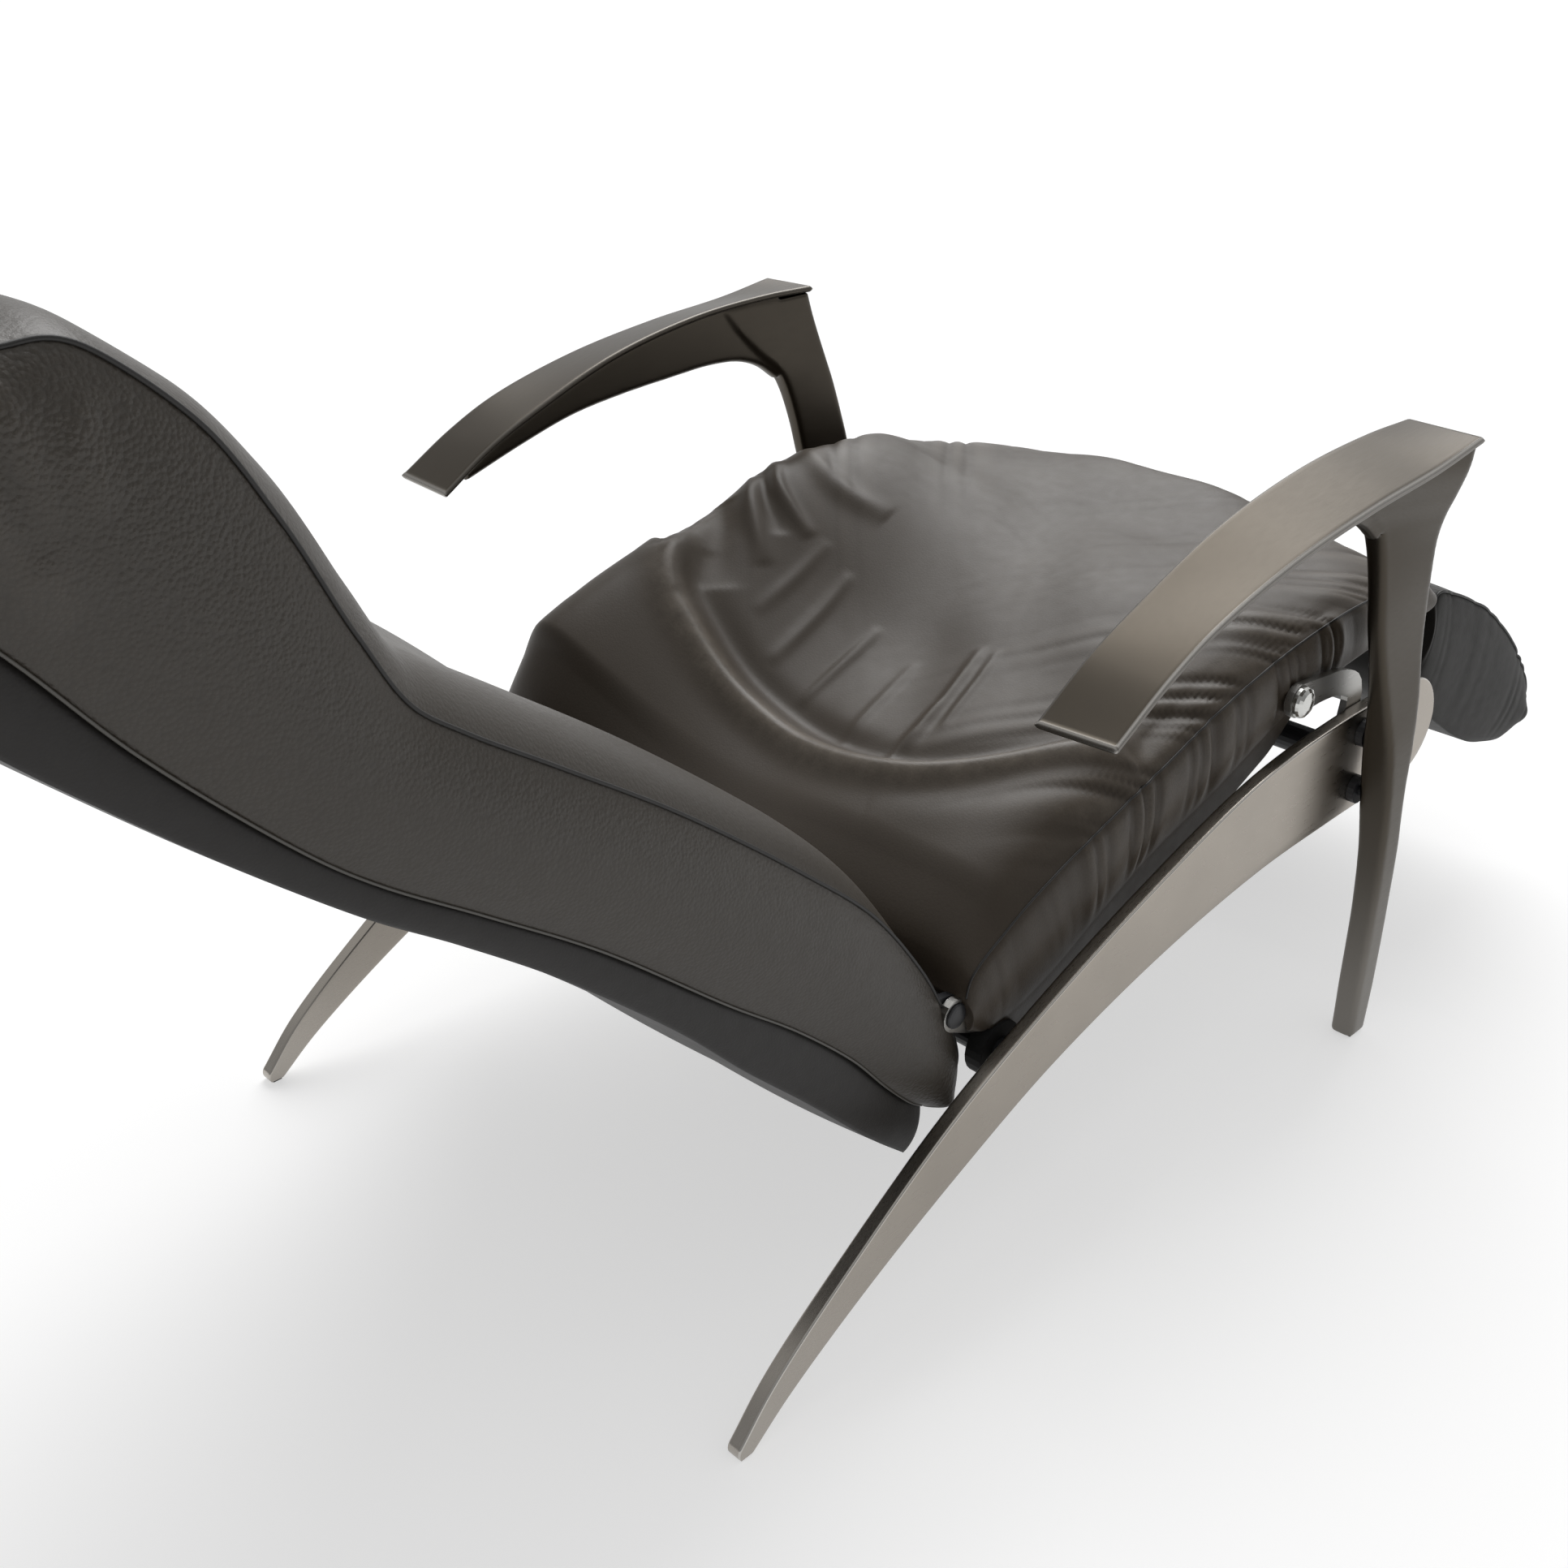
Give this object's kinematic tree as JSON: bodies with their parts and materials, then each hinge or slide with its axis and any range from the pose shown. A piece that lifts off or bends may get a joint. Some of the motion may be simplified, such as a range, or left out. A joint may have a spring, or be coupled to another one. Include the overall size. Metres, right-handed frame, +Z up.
{
  "type": "reclining lounge chair",
  "caption": "Reclining lounge chair: leather seat, tall curved back and leg rest on two bowed metal side frames with flat curved arms, shown leant back.",
  "frame": {"origin": "on the floor under the middle of the chair's box, with the chair leant back as in the picture", "axes": "+Z up, the sitter faces -Y, +X is the sitter's left"},
  "size_m": [0.73, 1.5316, 0.7854],
  "materials": {
    "cast_aluminium": "satin",
    "bare_aluminium": "satin",
    "dark_steel": "satin",
    "bright_steel": "polished",
    "leather": "satin",
    "shell_leather": "satin",
    "rubber": "matte",
    "webbing": "matte"
  },
  "bodies": {
    "base": {"arm_leg_casting_left": "cast_aluminium", "arm_leg_casting_right": "cast_aluminium", "side_rail_left": "cast_aluminium", "side_rail_right": "cast_aluminium", "leg_spacer_upper_left": "dark_steel", "leg_spacer_upper_right": "dark_steel", "leg_bolt_upper_left": "dark_steel", "leg_bolt_upper_right": "dark_steel", "leg_spacer_lower_left": "dark_steel", "leg_spacer_lower_right": "dark_steel", "leg_bolt_lower_left": "dark_steel", "leg_bolt_lower_right": "dark_steel", "pivot_bracket_left": "bare_aluminium", "pivot_bracket_right": "bare_aluminium", "seat_pivot_pin_left": "bright_steel", "seat_pivot_pin_right": "bright_steel", "seat_buffer_left": "rubber", "seat_buffer_right": "rubber", "front_glide_left": "rubber", "front_glide_right": "rubber", "rear_glide_left": "rubber", "rear_glide_right": "rubber", "base_front_tube": "dark_steel", "base_rear_tube": "dark_steel", "seat_strut_front_lug": "dark_steel"},
    "seat": {"seat_side_bar_left": "bare_aluminium", "seat_side_bar_right": "bare_aluminium", "legrest_pin_left": "bright_steel", "legrest_pin_right": "bright_steel", "seat_front_tube": "dark_steel", "seat_mid_tube": "dark_steel", "back_hinge_shaft": "bright_steel", "seat_strap_1": "webbing", "seat_strap_2": "webbing", "seat_strap_3": "webbing", "seat_strap_4": "webbing", "seat_strap_5": "webbing", "seat_strap_6": "webbing", "seat_cushion": "leather", "seat_strut_rear_lug": "dark_steel", "back_strut_front_lug": "dark_steel", "back_strut_tube": "dark_steel"},
    "back": {"back_upright_left": "dark_steel", "back_upright_right": "dark_steel", "back_tube_1": "dark_steel", "back_tube_2": "dark_steel", "back_tube_3": "dark_steel", "back_lever": "dark_steel", "back_shell": "shell_leather", "back_pad": "leather"},
    "legrest": {"legrest_arm_left": "dark_steel", "legrest_arm_right": "dark_steel", "legrest_tube_1": "dark_steel", "legrest_tube_2": "dark_steel", "legrest_pad": "leather"},
    "seat_strut_cylinder": {"seat_strut_tube": "dark_steel"},
    "seat_strut_piston": {"seat_strut_rod": "bright_steel"},
    "back_strut_piston": {"back_strut_rod": "bright_steel"}
  },
  "joints": [
    {"name": "seat_tilt", "type": "hinge", "parent": "base", "child": "seat", "pos_m": [0, -0.26524, 0.334], "axis": [1, 0, 0], "range_deg": [0, 9]},
    {"name": "back_recline", "type": "hinge", "parent": "seat", "child": "back", "pos_m": [0, 0.12484, 0.22195], "axis": [1, 0, 0], "range_deg": [0, 22]},
    {"name": "legrest_swing", "type": "hinge", "parent": "seat", "child": "legrest", "pos_m": [0, -0.48939, 0.34011], "axis": [1, 0, 0], "range_deg": [-45, 20]},
    {"name": "seat_strut_pivot", "type": "hinge", "parent": "base", "child": "seat_strut_cylinder", "pos_m": [0.2466, -0.33524, 0.22283], "axis": [1, 0, 0], "range_deg": [0, 7.5]},
    {"name": "seat_strut_stroke", "type": "slide", "parent": "seat_strut_cylinder", "child": "seat_strut_piston", "axis": [0, 0.9939, -0.1099], "range_m": [0, 0.018]},
    {"name": "back_strut_stroke", "type": "slide", "parent": "seat", "child": "back_strut_piston", "axis": [0, 0.965, -0.2624], "range_m": [0, 0.0171]}
  ],
  "couplings": [
    {"joint": "seat_strut_pivot", "follows": "seat_tilt", "ratio": 0.8326},
    {"joint": "seat_strut_stroke", "follows": "seat_tilt", "m_per_rad": 0.1141},
    {"joint": "back_strut_stroke", "follows": "back_recline", "m_per_rad": 0.04442}
  ]
}
